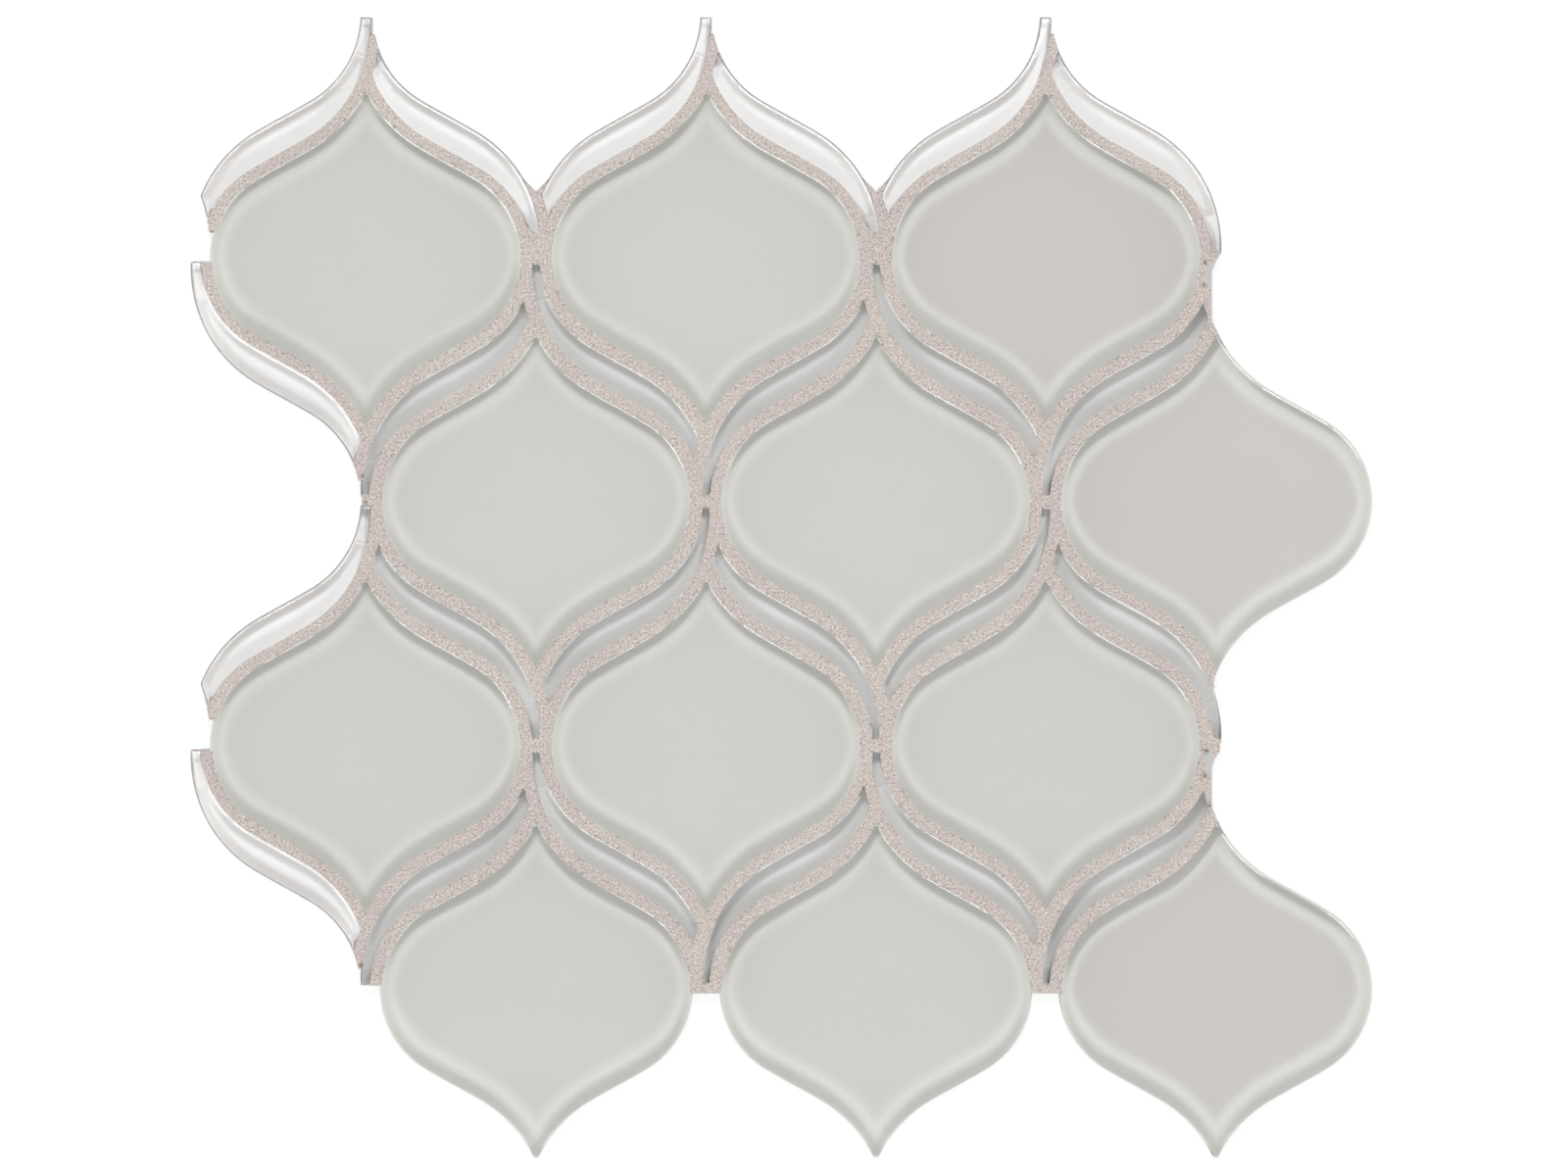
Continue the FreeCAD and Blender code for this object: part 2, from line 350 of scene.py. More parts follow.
def new_piece(name, vertices, faces, materials, face_materials=None, sharp_angle=40):
    """A mesh object with smooth faces, from points in millimetres."""
    mesh = bpy.data.meshes.new(name)
    mesh.from_pydata((np.asarray(vertices) * MM).tolist(), [], faces)
    for item in materials:
        mesh.materials.append(item)
    if face_materials is not None:
        mesh.polygons.foreach_set("material_index", face_materials)
    mesh.shade_smooth()
    mesh.set_sharp_from_angle(angle=math.radians(sharp_angle))
    mesh.update()
    piece = bpy.data.objects.new(name, mesh)
    bpy.context.scene.collection.objects.link(piece)
    return piece


def point_attribute(piece, name, values):
    attribute = piece.data.attributes.new(name, "FLOAT", "POINT")
    attribute.data.foreach_set("value", np.asarray(values, dtype=np.float32))


def face_drop(depth):
    """How far a glass face lies below the flat, by the distance from its outline."""
    rim = np.clip(RIM_RADIUS - depth, 0, None)
    roll = np.clip(1 - depth / FACE_ROLL_REACH, 0, 1)
    return RIM_RADIUS - np.sqrt(RIM_RADIUS**2 - rim**2) + FACE_ROLL * roll**2


def ringed_face(outline, rings):
    """A triangulated face with rings of points inside its outline.

    Each point comes with its depth and with the outward direction of the outline beside it.
    """
    normals = outward(outline)
    points, depths, facing = [outline], [np.zeros(len(outline))], [normals]
    for ring in rings:
        moved = outline - normals * ring
        depth = distance_to(outline, moved)
        kept = (depth > ring * RING_KEPT) & inside([outline], moved)
        points.append(moved[kept])
        depths.append(depth[kept])
        facing.append(normals[kept])
    points, depths, facing = np.vstack(points), np.concatenate(depths), np.vstack(facing)
    made = geometry.delaunay_2d_cdt(
        [Vector(p) for p in points], [], [list(range(len(outline)))], 1, WELD
    )
    source = [ids[0] for ids in made[3]]
    place = {given: k for k, given in enumerate(source)}
    rim = [place[i] for i in range(len(outline))]
    return points[source], depths[source], facing[source], made[2], rim


def band_depth(depth, side):
    """A depth in the glass, scaled so that the painted band of light inside the rim lies at its set
    depth.

    The side is the upward part of the outline's direction there, from -1 to 1.
    """
    band = BAND_AT_SIDE + np.where(side > 0, BAND_ABOVE, BAND_BELOW) * np.abs(side)
    return depth * PAINTED_LIGHT_BAND / band


def painted_light_lift(depth, side, amount, reach):
    """How much painted light lightens the coat at a point, by its depth in the glass and its side.
    """
    aside = np.clip((FLANK_RISE - np.abs(side)) / FLANK_FADE, 0, 1)
    return amount * aside * (1 - np.clip(depth / reach, 0, 1) ** 2)


def glass_body(name, outline, bottom, top, materials, painted_light, bare_towards=None):
    """A closed glass body: a face with a rounded rim, upright sides and a flat bed below.

    An outer strip has no grout on the side that faces the bare direction.
    """
    upper, upper_depth, upper_facing, upper_faces, upper_rim = ringed_face(outline, RIM_RINGS)
    lower, lower_depth, lower_facing, lower_faces, lower_rim = ringed_face(outline, BED_RINGS)
    bare = np.ones(len(upper), bool)
    if bare_towards:
        bare = (upper_facing @ bare_towards > 0) | (np.abs(upper_facing[:, 1]) > SQUARE_END)
    first = len(upper)
    vertices = np.vstack([
        np.column_stack([upper, top - face_drop(upper_depth)]),
        np.column_stack([lower, np.full(len(lower), bottom)]),
    ])
    faces = [list(face) for face in upper_faces]
    reach = [upper_depth[face].mean() for face in upper_faces]
    slots = [
        1 if depth < SIDE_GLASS_REACH and bare[face].all() else 0
        for depth, face in zip(reach, faces)
    ]
    faces += [[first + i for i in reversed(face)] for face in lower_faces]
    slots += [2] * len(lower_faces)
    count = len(outline)
    for i in range(count):
        j = (i + 1) % count
        faces.append([upper_rim[j], upper_rim[i], first + lower_rim[i], first + lower_rim[j]])
        sideways = abs(outline[j][0] - outline[i][0])
        square = sideways > SQUARE_END * math.dist(outline[i], outline[j])
        slots.append(0 if bare_towards and square else 3)
    piece = new_piece(name, vertices, faces, materials, slots)
    lower_side = lower_facing[:, 1]
    # The depth scaled to place the painted band of light on the coat
    inset = band_depth(lower_depth, lower_side)
    if bare_towards:
        on_bare_side = lower_facing @ bare_towards > 0
        inset = np.where(on_bare_side, BARE_SIDE_AT - lower_depth, lower_depth)
    # Painted light: the coat is lightened near the edges at the sides, and on a strip only on its
    # lower side
    lighter = painted_light_lift(lower_depth, lower_side, *painted_light)
    if painted_light is STRIP_SIDE_PAINTED_LIGHT:
        lighter *= lower_side < 0
    point_attribute(piece, "inset", np.concatenate([upper_depth, inset]))
    point_attribute(piece, "painted_light", np.concatenate([np.zeros(first), lighter]))
    return piece


# Materials

def blank(name):
    made = bpy.data.materials.new(name)
    made.use_nodes = True
    made.node_tree.nodes.clear()
    return made, made.node_tree.nodes, made.node_tree.links


def add(nodes, kind, inputs=None, **settings):
    """A shader node with its settings, and with its inputs by name."""
    node = nodes.new(kind)
    for key, value in settings.items():
        setattr(node, key, value)
    for key, value in (inputs or {}).items():
        node.inputs[key].default_value = value
    return node


def ramp(nodes, links, source, stops):
    """A colour ramp over a value from 0 to 1, with its stops as (position, colour)."""
    node = nodes.new("ShaderNodeValToRGB")
    elements = node.color_ramp.elements
    while len(elements) < len(stops):
        elements.new(0.5)
    for element, (position, colour) in zip(elements, stops):
        element.position = position
        element.color = (*colour, 1)
    links.new(source, node.inputs["Fac"])
    return node.outputs["Color"]


def clear_glass(name, tint, lets_light_through):
    """Polished clear glass. Its face lets lamps through, and its sides hold their light back."""
    made, nodes, links = blank(name)
    glass = add(nodes, "ShaderNodeBsdfPrincipled", {
        "Base Color": (*tint, 1), "Roughness": 0.015, "IOR": 1.52, "Transmission Weight": 1.0,
    })
    waves = add(nodes, "ShaderNodeTexNoise", {"Scale": 45.0, "Detail": 0.0})
    bump = add(nodes, "ShaderNodeBump", {"Strength": 0.04, "Distance": 0.0004})
    where = add(nodes, "ShaderNodeTexCoord")
    out = add(nodes, "ShaderNodeOutputMaterial")
    links.new(where.outputs["Object"], waves.inputs["Vector"])
    links.new(waves.outputs["Fac"], bump.inputs["Height"])
    links.new(bump.outputs["Normal"], glass.inputs["Normal"])
    if not lets_light_through:
        links.new(glass.outputs["BSDF"], out.inputs["Surface"])
        return made
    path = add(nodes, "ShaderNodeLightPath")
    either = add(nodes, "ShaderNodeMath", operation="MAXIMUM")
    through = add(nodes, "ShaderNodeBsdfTransparent")
    mix = add(nodes, "ShaderNodeMixShader")
    links.new(path.outputs["Is Shadow Ray"], either.inputs[0])
    links.new(path.outputs["Is Diffuse Ray"], either.inputs[1])
    links.new(either.outputs["Value"], mix.inputs["Fac"])
    links.new(glass.outputs["BSDF"], mix.inputs[1])
    links.new(through.outputs["BSDF"], mix.inputs[2])
    links.new(mix.outputs["Shader"], out.inputs["Surface"])
    return made


def ground_glass(name, dark, pale):
    """Ground glass, frosted and with grout dust on it."""
    made, nodes, links = blank(name)
    where = add(nodes, "ShaderNodeTexCoord")
    dust = add(nodes, "ShaderNodeTexNoise", {"Scale": 500.0, "Detail": 1.0})
    side = add(nodes, "ShaderNodeBsdfPrincipled", {
        "Roughness": 0.6, "Specular IOR Level": 0.0, "Transmission Weight": 0.1,
    })
    out = add(nodes, "ShaderNodeOutputMaterial")
    links.new(where.outputs["Object"], dust.inputs["Vector"])
    colour = ramp(nodes, links, dust.outputs["Fac"], [
        (0.3, linear(*dark)), (0.7, linear(*pale)),
    ])
    links.new(colour, side.inputs["Base Color"])
    links.new(side.outputs["BSDF"], out.inputs["Surface"])
    return made


def bed_coat(name, stops, mottle):
    """The coat under a piece of glass, with its colour by the distance from the outline, which
    carries painted bands of light and shade, and lightened further by painted light.
    """
    made, nodes, links = blank(name)
    reach = stops[-1][0]
    inset = add(nodes, "ShaderNodeAttribute", attribute_name="inset", attribute_type="GEOMETRY")
    scaled = add(nodes, "ShaderNodeMath", {1: 1 / reach}, operation="MULTIPLY", use_clamp=True)
    where = add(nodes, "ShaderNodeTexCoord")
    clouds = add(nodes, "ShaderNodeTexNoise", {"Scale": 28.0, "Detail": 1.0})
    # The coat is lightened by painted light, read from a point attribute
    painted_light = add(nodes, "ShaderNodeAttribute", attribute_name="painted_light", attribute_type="GEOMETRY")
    span = add(nodes, "ShaderNodeMapRange", {"To Min": 1 - mottle, "To Max": 1 + mottle})
    lifted = add(nodes, "ShaderNodeMath", operation="ADD")
    tone = add(nodes, "ShaderNodeVectorMath", operation="SCALE")
    coat = add(nodes, "ShaderNodeBsdfPrincipled", {"Roughness": 0.6, "Specular IOR Level": 0.0})
    out = add(nodes, "ShaderNodeOutputMaterial")
    links.new(inset.outputs["Fac"], scaled.inputs[0])
    colour = ramp(nodes, links, scaled.outputs["Value"], [(at / reach, c) for at, c in stops])
    links.new(where.outputs["Object"], clouds.inputs["Vector"])
    links.new(clouds.outputs["Fac"], span.inputs["Value"])
    links.new(colour, tone.inputs["Vector"])
    links.new(span.outputs["Result"], lifted.inputs[0])
    links.new(painted_light.outputs["Fac"], lifted.inputs[1])
    links.new(lifted.outputs["Value"], tone.inputs["Scale"])
    links.new(tone.outputs["Vector"], coat.inputs["Base Color"])
    links.new(coat.outputs["BSDF"], out.inputs["Surface"])
    return made


def grout_material():
    """Sanded grout: pinkish beige with pale and dark grains and small pits."""
    made, nodes, links = blank("sanded_grout")
    where = add(nodes, "ShaderNodeTexCoord")
    clouds = add(nodes, "ShaderNodeTexNoise", {"Scale": 60.0, "Detail": 1.0})
    sand = add(nodes, "ShaderNodeTexNoise", {"Scale": 1950.0, "Detail": 2.0, "Roughness": 0.7})
    pits = add(nodes, "ShaderNodeTexVoronoi", {"Scale": 1300.0})
    dirt = add(nodes, "ShaderNodeAttribute", attribute_name="dirt", attribute_type="GEOMETRY")
    stub = add(nodes, "ShaderNodeAttribute", attribute_name="stub", attribute_type="GEOMETRY")
    out = add(nodes, "ShaderNodeOutputMaterial")
    cement = add(nodes, "ShaderNodeBsdfPrincipled", {"Roughness": 0.85, "Specular IOR Level": 0.1})
    for texture in (clouds, sand, pits):
        links.new(where.outputs["Object"], texture.inputs["Vector"])
    base = ramp(nodes, links, clouds.outputs["Fac"], [
        (0.35, linear(202, 192, 188)), (0.65, linear(206, 198, 192)),
    ])
    grain = ramp(nodes, links, sand.outputs["Fac"], [
        (0.30, (0.44, 0.41, 0.40)), (0.42, (0.89, 0.87, 0.86)),
        (0.56, (1.04, 1.04, 1.04)), (0.70, (1.48, 1.47, 1.46)),
    ])
    mixed = add(nodes, "ShaderNodeMix", {"Factor": 1.0}, data_type="RGBA", blend_type="MULTIPLY")
    links.new(base, mixed.inputs[6])
    links.new(grain, mixed.inputs[7])
    soiled = add(nodes, "ShaderNodeMix", data_type="RGBA")
    soiled.inputs[7].default_value = (*linear(112, 94, 72), 1)
    glassy = add(nodes, "ShaderNodeMix", data_type="RGBA")
    glassy.inputs[7].default_value = (*linear(198, 199, 196), 1)
    links.new(stub.outputs["Fac"], glassy.inputs["Factor"])
    links.new(mixed.outputs[2], glassy.inputs[6])
    links.new(dirt.outputs["Fac"], soiled.inputs["Factor"])
    links.new(glassy.outputs[2], soiled.inputs[6])
    links.new(soiled.outputs[2], cement.inputs["Base Color"])
    rough = add(nodes, "ShaderNodeMath", operation="ADD")
    links.new(sand.outputs["Fac"], rough.inputs[0])
    links.new(pits.outputs["Distance"], rough.inputs[1])
    bump = add(nodes, "ShaderNodeBump", {"Strength": 0.5, "Distance": 0.00015})
    links.new(rough.outputs["Value"], bump.inputs["Height"])
    links.new(bump.outputs["Normal"], cement.inputs["Normal"])
    links.new(cement.outputs["BSDF"], out.inputs["Surface"])
    return made


def net_material():
    """Pale glass fibre threads with a soft sheen."""
    made, nodes, links = blank("net_threads")
    where = add(nodes, "ShaderNodeTexCoord")
    fibre = add(nodes, "ShaderNodeTexNoise", {"Scale": 600.0, "Detail": 2.0})
    out = add(nodes, "ShaderNodeOutputMaterial")
    thread = add(nodes, "ShaderNodeBsdfPrincipled", {"Roughness": 0.7, "Sheen Weight": 0.2})
    bump = add(nodes, "ShaderNodeBump", {"Strength": 0.4, "Distance": 0.0001})
    links.new(where.outputs["Object"], fibre.inputs["Vector"])
    colour = ramp(nodes, links, fibre.outputs["Fac"], [
        (0.3, linear(214, 213, 208)), (0.7, linear(240, 239, 235)),
    ])
    links.new(colour, thread.inputs["Base Color"])
    links.new(fibre.outputs["Fac"], bump.inputs["Height"])
    links.new(bump.outputs["Normal"], thread.inputs["Normal"])
    links.new(thread.outputs["BSDF"], out.inputs["Surface"])
    return made


def floor_material():
    """White paper that looks white to the eye, to gloss and through glass, and keeps a shadow."""
    made, nodes, links = blank("white_floor")
    path = add(nodes, "ShaderNodeLightPath")
    seen = add(nodes, "ShaderNodeMath", operation="MAXIMUM")
    seen_all = add(nodes, "ShaderNodeMath", operation="MAXIMUM")
    paper = add(nodes, "ShaderNodeBsdfDiffuse", {"Color": (0.86, 0.86, 0.86, 1)})
    faint = add(nodes, "ShaderNodeBsdfDiffuse", {"Color": (0.25, 0.25, 0.25, 1)})
    glow = add(nodes, "ShaderNodeEmission", {"Color": (1, 1, 1, 1), "Strength": 0.82})
    both = add(nodes, "ShaderNodeAddShader")
    mix = add(nodes, "ShaderNodeMixShader")
    out = add(nodes, "ShaderNodeOutputMaterial")
    links.new(path.outputs["Is Camera Ray"], seen.inputs[0])
    links.new(path.outputs["Is Glossy Ray"], seen.inputs[1])
    links.new(seen.outputs["Value"], seen_all.inputs[0])
    links.new(path.outputs["Is Transmission Ray"], seen_all.inputs[1])
    links.new(faint.outputs["BSDF"], both.inputs[0])
    links.new(glow.outputs["Emission"], both.inputs[1])
    links.new(seen_all.outputs["Value"], mix.inputs["Fac"])
    links.new(paper.outputs["BSDF"], mix.inputs[1])
    links.new(both.outputs["Shader"], mix.inputs[2])
    links.new(mix.outputs["Shader"], out.inputs["Surface"])
    return made


# The glass pieces

LANTERN_COOL = linear(209, 208, 204)
LANTERN_WARM = linear(205, 202, 197)
WARM_LANTERNS = {(1, 3), (2, 3), (4, 3)}

# How the coats change with the depth in the glass: factors for a lantern, which paint a band of
# light inside the rim, colours for a strip
LANTERN_RIM_LIGHT_BAND = [(0.0, 1.06), (1.8, 1.05), (3.1, 1.11), (3.9, 1.145), (4.7, 1.095)]
LANTERN_FACE = [(5.7, 1.04), (7.0, 1.01)]
LANTERN_MOTTLE = 0.01
# A strip's coat: pinkish grey at its edges, where grout reaches under the glass, and lighter in the
# middle, partly painted light for the bright ridge
INNER_STRIP = [
    (0.0, (228, 221, 218)), (1.5, (230, 228, 226)), (3.0, (239, 239, 239)), (4.5, (240, 241, 242)),
]
INNER_MOTTLE = 0.02
# An outer strip's coat: pale and warm beside the grout, near white in the middle, and greyer towards
# the bare side, a painted band of shade
OUTER_STRIP = [
    (0.0, (252, 247, 243)), (1.2, (254, 252, 251)), (2.4, (254, 254, 254)),
    (6.0, (254, 254, 254)), (6.8, (240, 238, 237)), (BARE_SIDE_AT, (232, 228, 227)),
]
OUTER_MOTTLE = 0.01


def scaled(colour, factor):
    return tuple(channel * factor for channel in colour)


def lantern_coat(name, colour):
    """The coat of a lantern: its own tone on the face, and the same cool tone along every rim,
    lightened there by a painted band of light.
    """
    stops = [(depth, scaled(LANTERN_COOL, factor)) for depth, factor in LANTERN_RIM_LIGHT_BAND]
    stops += [(depth, scaled(colour, factor)) for depth, factor in LANTERN_FACE]
    return bed_coat(name, stops, LANTERN_MOTTLE)


def strip_coat(name, colours, mottle):
    return bed_coat(name, [(depth, linear(*colour)) for depth, colour in colours], mottle)


def is_outer_strip(side, row, column):
    """Whether a strip lies on the sheet's open edge, with its far flank bare."""
    return row == 1 or (side == "left" and row == 3 and column == 1) or column == 0


def strip_names():
    for row in range(1, ROWS + 1):
        right_columns = range(COLUMNS) if row % 2 == 0 else range(1, COLUMNS + 1)
        for column in range(1, COLUMNS + 1):
            yield "left", row, column
        for column in right_columns:
            yield "right", row, column


def place_piece(name, materials, painted_light, bare_towards=None):
    """Builds the glass body for a node from its own outline, and returns the outline."""
    outline = smoothed(top_loops(name)[0], OUTLINE_STEP)
    low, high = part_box(name)
    piece = glass_body(
        name + "_glass", outline, low.z / MM, high.z / MM, materials, painted_light, bare_towards
    )
    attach(piece, "root")
    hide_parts(name)
    return outline


def make_glass():
    face_glass = clear_glass("face_glass", (0.99, 0.992, 0.987), True)
    rim_glass = clear_glass("rim_glass", (0.985, 0.99, 0.983), False)
    ground_sides = ground_glass("ground_sides", (176, 180, 176), (196, 199, 195))
    arris = ground_glass("ground_arris", (170, 169, 167), (192, 191, 189))
    outer_sides = ground_glass("outer_sides", (214, 213, 211), (228, 227, 226))
    cool = lantern_coat("lantern_coat", LANTERN_COOL)
    warm = lantern_coat("lantern_coat_warm", LANTERN_WARM)
    inner = strip_coat("strip_bed", INNER_STRIP, INNER_MOTTLE)
    outer = strip_coat("strip_bed_outer", OUTER_STRIP, OUTER_MOTTLE)
    outlines = []
    for row in range(1, ROWS + 1):
        for column in range(1, COLUMNS + 1):
            coat = warm if (row, column) in WARM_LANTERNS else cool
            name = f"lantern_r{row}_c{column}"
            materials = [face_glass, rim_glass, coat, ground_sides]
            outlines.append(place_piece(name, materials, LANTERN_SIDE_PAINTED_LIGHT))
    for side, row, column in strip_names():
        name = f"strip_{side}_r{row}_c{column}"
        bare_towards = None
        materials = [face_glass, rim_glass, inner, ground_sides]
        if is_outer_strip(side, row, column):
            materials = [face_glass, arris, outer, outer_sides]
            bare_towards = FLANK_DIRECTIONS[side]
            if column == 0:
                bare_towards = (-bare_towards[0], -bare_towards[1])
        outlines.append(place_piece(name, materials, STRIP_SIDE_PAINTED_LIGHT, bare_towards))
    return outlines


# Grout

def tree_of(points):
    tree = kdtree.KDTree(len(points))
    for i, (x, y) in enumerate(points):
        tree.insert((x, y, 0), i)
    tree.balance()
    return tree


def nearest_distances(tree, points):
    return np.array([tree.find((x, y, 0))[2] for x, y in points])


def bare_runs(loops, glass_tree):
    """The stretches of the grout's outline that touch no glass, each with an end point on glass."""
    runs = []
    for loop in loops:
        middles = (loop + np.roll(loop, -1, 0)) / 2
        away = nearest_distances(glass_tree, loop) > BARE_DISTANCE
        bare = (nearest_distances(glass_tree, middles) > BARE_DISTANCE) | away | np.roll(away, -1)
        if not bare.any():
            continue
        start = int(np.nonzero(bare & ~np.roll(bare, 1))[0][0])
        loop = np.roll(loop, -start, 0)
        bare = np.roll(bare, -start)
        loop = np.vstack([loop, loop[:1]])
        run = []
        for i, away in enumerate([*bare, False]):
            if away:
                run = run or [loop[i]]
                run.append(loop[i + 1])
            elif run:
                runs.append(np.array(run))
                run = []
    return runs


def first_necks():
    """The middles of the necks between the lanterns of the first row."""
    for column in range(1, COLUMNS):
        low, high = (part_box(f"lantern_r1_c{c}") for c in (column, column + 1))
        yield (low[1].x + high[0].x) / 2 / MM, (low[0].y + low[1].y) / 2 / MM


SMEARS = list(first_necks())


def outer_strip_outlines():
    for side, row, column in strip_names():
        if is_outer_strip(side, row, column):
            yield smoothed(top_loops(f"strip_{side}_r{row}_c{column}")[0], OUTLINE_STEP)


OUTER_STRIPS = tree_of(np.vstack(list(outer_strip_outlines())))


def on_outer_strip(x, y):
    """Whether a place lies at the edge of an outer strip, where the grout laps less."""
    return OUTER_STRIPS.find((x, y, 0))[2] < BESIDE


def smear(x, y):
    """How much of the smeared width the grout has at a place, from 0 to 1."""
    share = 0.0
    for neck_x, neck_y in SMEARS:
        if abs(x - neck_x) < SMEAR_SIDE:
            above = y - neck_y
            edge = min(above - SMEAR_REACH[0], SMEAR_REACH[1] - above) / SMEAR_FADE
            share = max(share, min(1.0, edge))
    return share


def noise_at(x, y, pattern):
    waves, layer = pattern
    return noise.noise(Vector((x * waves, y * waves, layer)))


def lap_width(x, y):
    """How far the grout laps over a rim, a little uneven along the joint."""
    width = GROUT_LAP + GROUT_LAP_WANDER * noise_at(x, y, SLOW_NOISE)
    if on_outer_strip(x, y):
        width = OUTER_LAP
    width += GROUT_LAP_ROUGH * noise_at(x, y, QUICK_NOISE)
    return width + (SMEAR_WIDTH - width) * smear(x, y)


def without_broken(loop):
    """The grout's outline without the part that has broken off."""
    low, high = np.array(BROKEN_OFF)
    return loop[~((loop > low) & (loop < high)).all(1)]


def with_neck_wedges(loop):
    """The grout's outline with the small wedges at the bare necks."""
    for corner, wedge in NECK_WEDGES:
        met = np.nonzero(lengths(loop - corner) < NEAR_CORNER)[0]
        for k in met:
            loop = np.vstack([loop[:k], wedge, loop[k + 1 :]])
    return loop


def dirt_at(x, y):
    """How dirty a place is, from 0 to 1."""
    spots = (DIRT_CORE * (1 - math.dist(place, (x, y)) / radius) for place, radius in DIRT)
    return min(1.0, max(0.0, *spots) * (DIRT_EVEN + noise_at(x, y, DIRT_NOISE)))


def stub_at(x, y):
    """How clearly a place belongs to a stub of clear strip, from 0 to 1."""
    share = 0.0
    for (low_x, low_y), (_, high_y) in STUBS:
        away = math.dist((x, y), (low_x, min(max(y, low_y), high_y)))
        share = max(share, min(1.0, STUB_EDGE * (1 - away / STUB_REACH)))
    return share


def grid_points(loops, step):
    """A jittered triangular grid of points inside the loops."""
    low = np.vstack(loops).min(0)
    high = np.vstack(loops).max(0)
    rise = step * math.sqrt(3) / 2
    found = []
    for k in range(int((high[1] - low[1]) / rise) + 1):
        y = low[1] + (k + GRID_OFFSET) * rise
        start = low[0] + step / 2 * (k % 2)
        for a, b in level_spans(loops, y):
            first, last = math.ceil((a - start) / step), math.floor((b - start) / step)
            xs = start + step * np.arange(first, last + 1)
            found.append(np.column_stack([xs, np.full(len(xs), y)]))
    found = np.vstack(found)
    jitter = np.random.default_rng(GRID_SEED).uniform(-GRID_JITTER, GRID_JITTER, found.shape)
    return found + jitter * step


def sides_of(face):
    return [(a, b) for a, b in zip(face, [*face[1:], face[0]])]


def joint_triangles(points, edges, rims, walls):
    """Triangulates the sheet, and tells the faces between the glass from the faces in the glass.

    Rims are the glass outlines. Walls are the first so many edges, where the joints end bare.
    """
    made = geometry.delaunay_2d_cdt([Vector(p) for p in points], edges, rims, 0, WELD)
    flat, made_edges, faces, source, edge_source, face_source = made
    stops = {
        tuple(sorted(edge))
        for edge, ids in zip(made_edges, edge_source) if ids and min(ids) < walls
    }
    beside = {}
    for f, face in enumerate(faces):
        for side in sides_of(face):
            beside.setdefault(tuple(sorted(side)), []).append(f)
    between = {f for f, ids in enumerate(face_source) if not ids}
    outside = {found[0] for found in beside.values() if len(found) == 1} & between
    front = list(outside)
    while front:
        for side in sides_of(faces[front.pop()]):
            key = tuple(sorted(side))
            if key not in stops:
                fresh = set(beside[key]) & between - outside
                outside |= fresh
                front += fresh
    own = [faces[f] for f in sorted(between - outside)]
    in_glass = [faces[f] for f, ids in enumerate(face_source) if ids]
    return np.array([tuple(p) for p in flat]), own, in_glass, source


def rim_sides(faces):
    """The sides that only one of the faces has."""
    seen = {}
    for face in faces:
        for side in sides_of(face):
            key = tuple(sorted(side))
            seen[key] = None if key in seen else side
    return [side for side in seen.values() if side]


def grout_height(points, depth, width, level, glass_top):
    """The grout's own surface: hollow in the joint, and drawn up to the rims at its edges."""
    rise = np.clip((depth + GROUT_HOLLOW_REACH) / (GROUT_HOLLOW_REACH + width), 0, 1)
    low = level - GROUT_HOLLOW
    edge = glass_top - face_drop(width) + GROUT_CLEARANCE
    grain = np.array([
        sum(
            share * noise.noise(Vector((x, y, layer)) * often / GROUT_GRAIN_SIZE)
            for share, often, layer in GROUT_GRAIN_LAYERS
        )
        for x, y in points
    ])
    height = low + (edge - low) * rise**2 + GROUT_GRAIN * grain * (1 - rise**6)
    glass = glass_top - face_drop(np.clip(depth, 0, None))
    return np.maximum(height, glass + GROUT_CLEARANCE * (depth > 0))


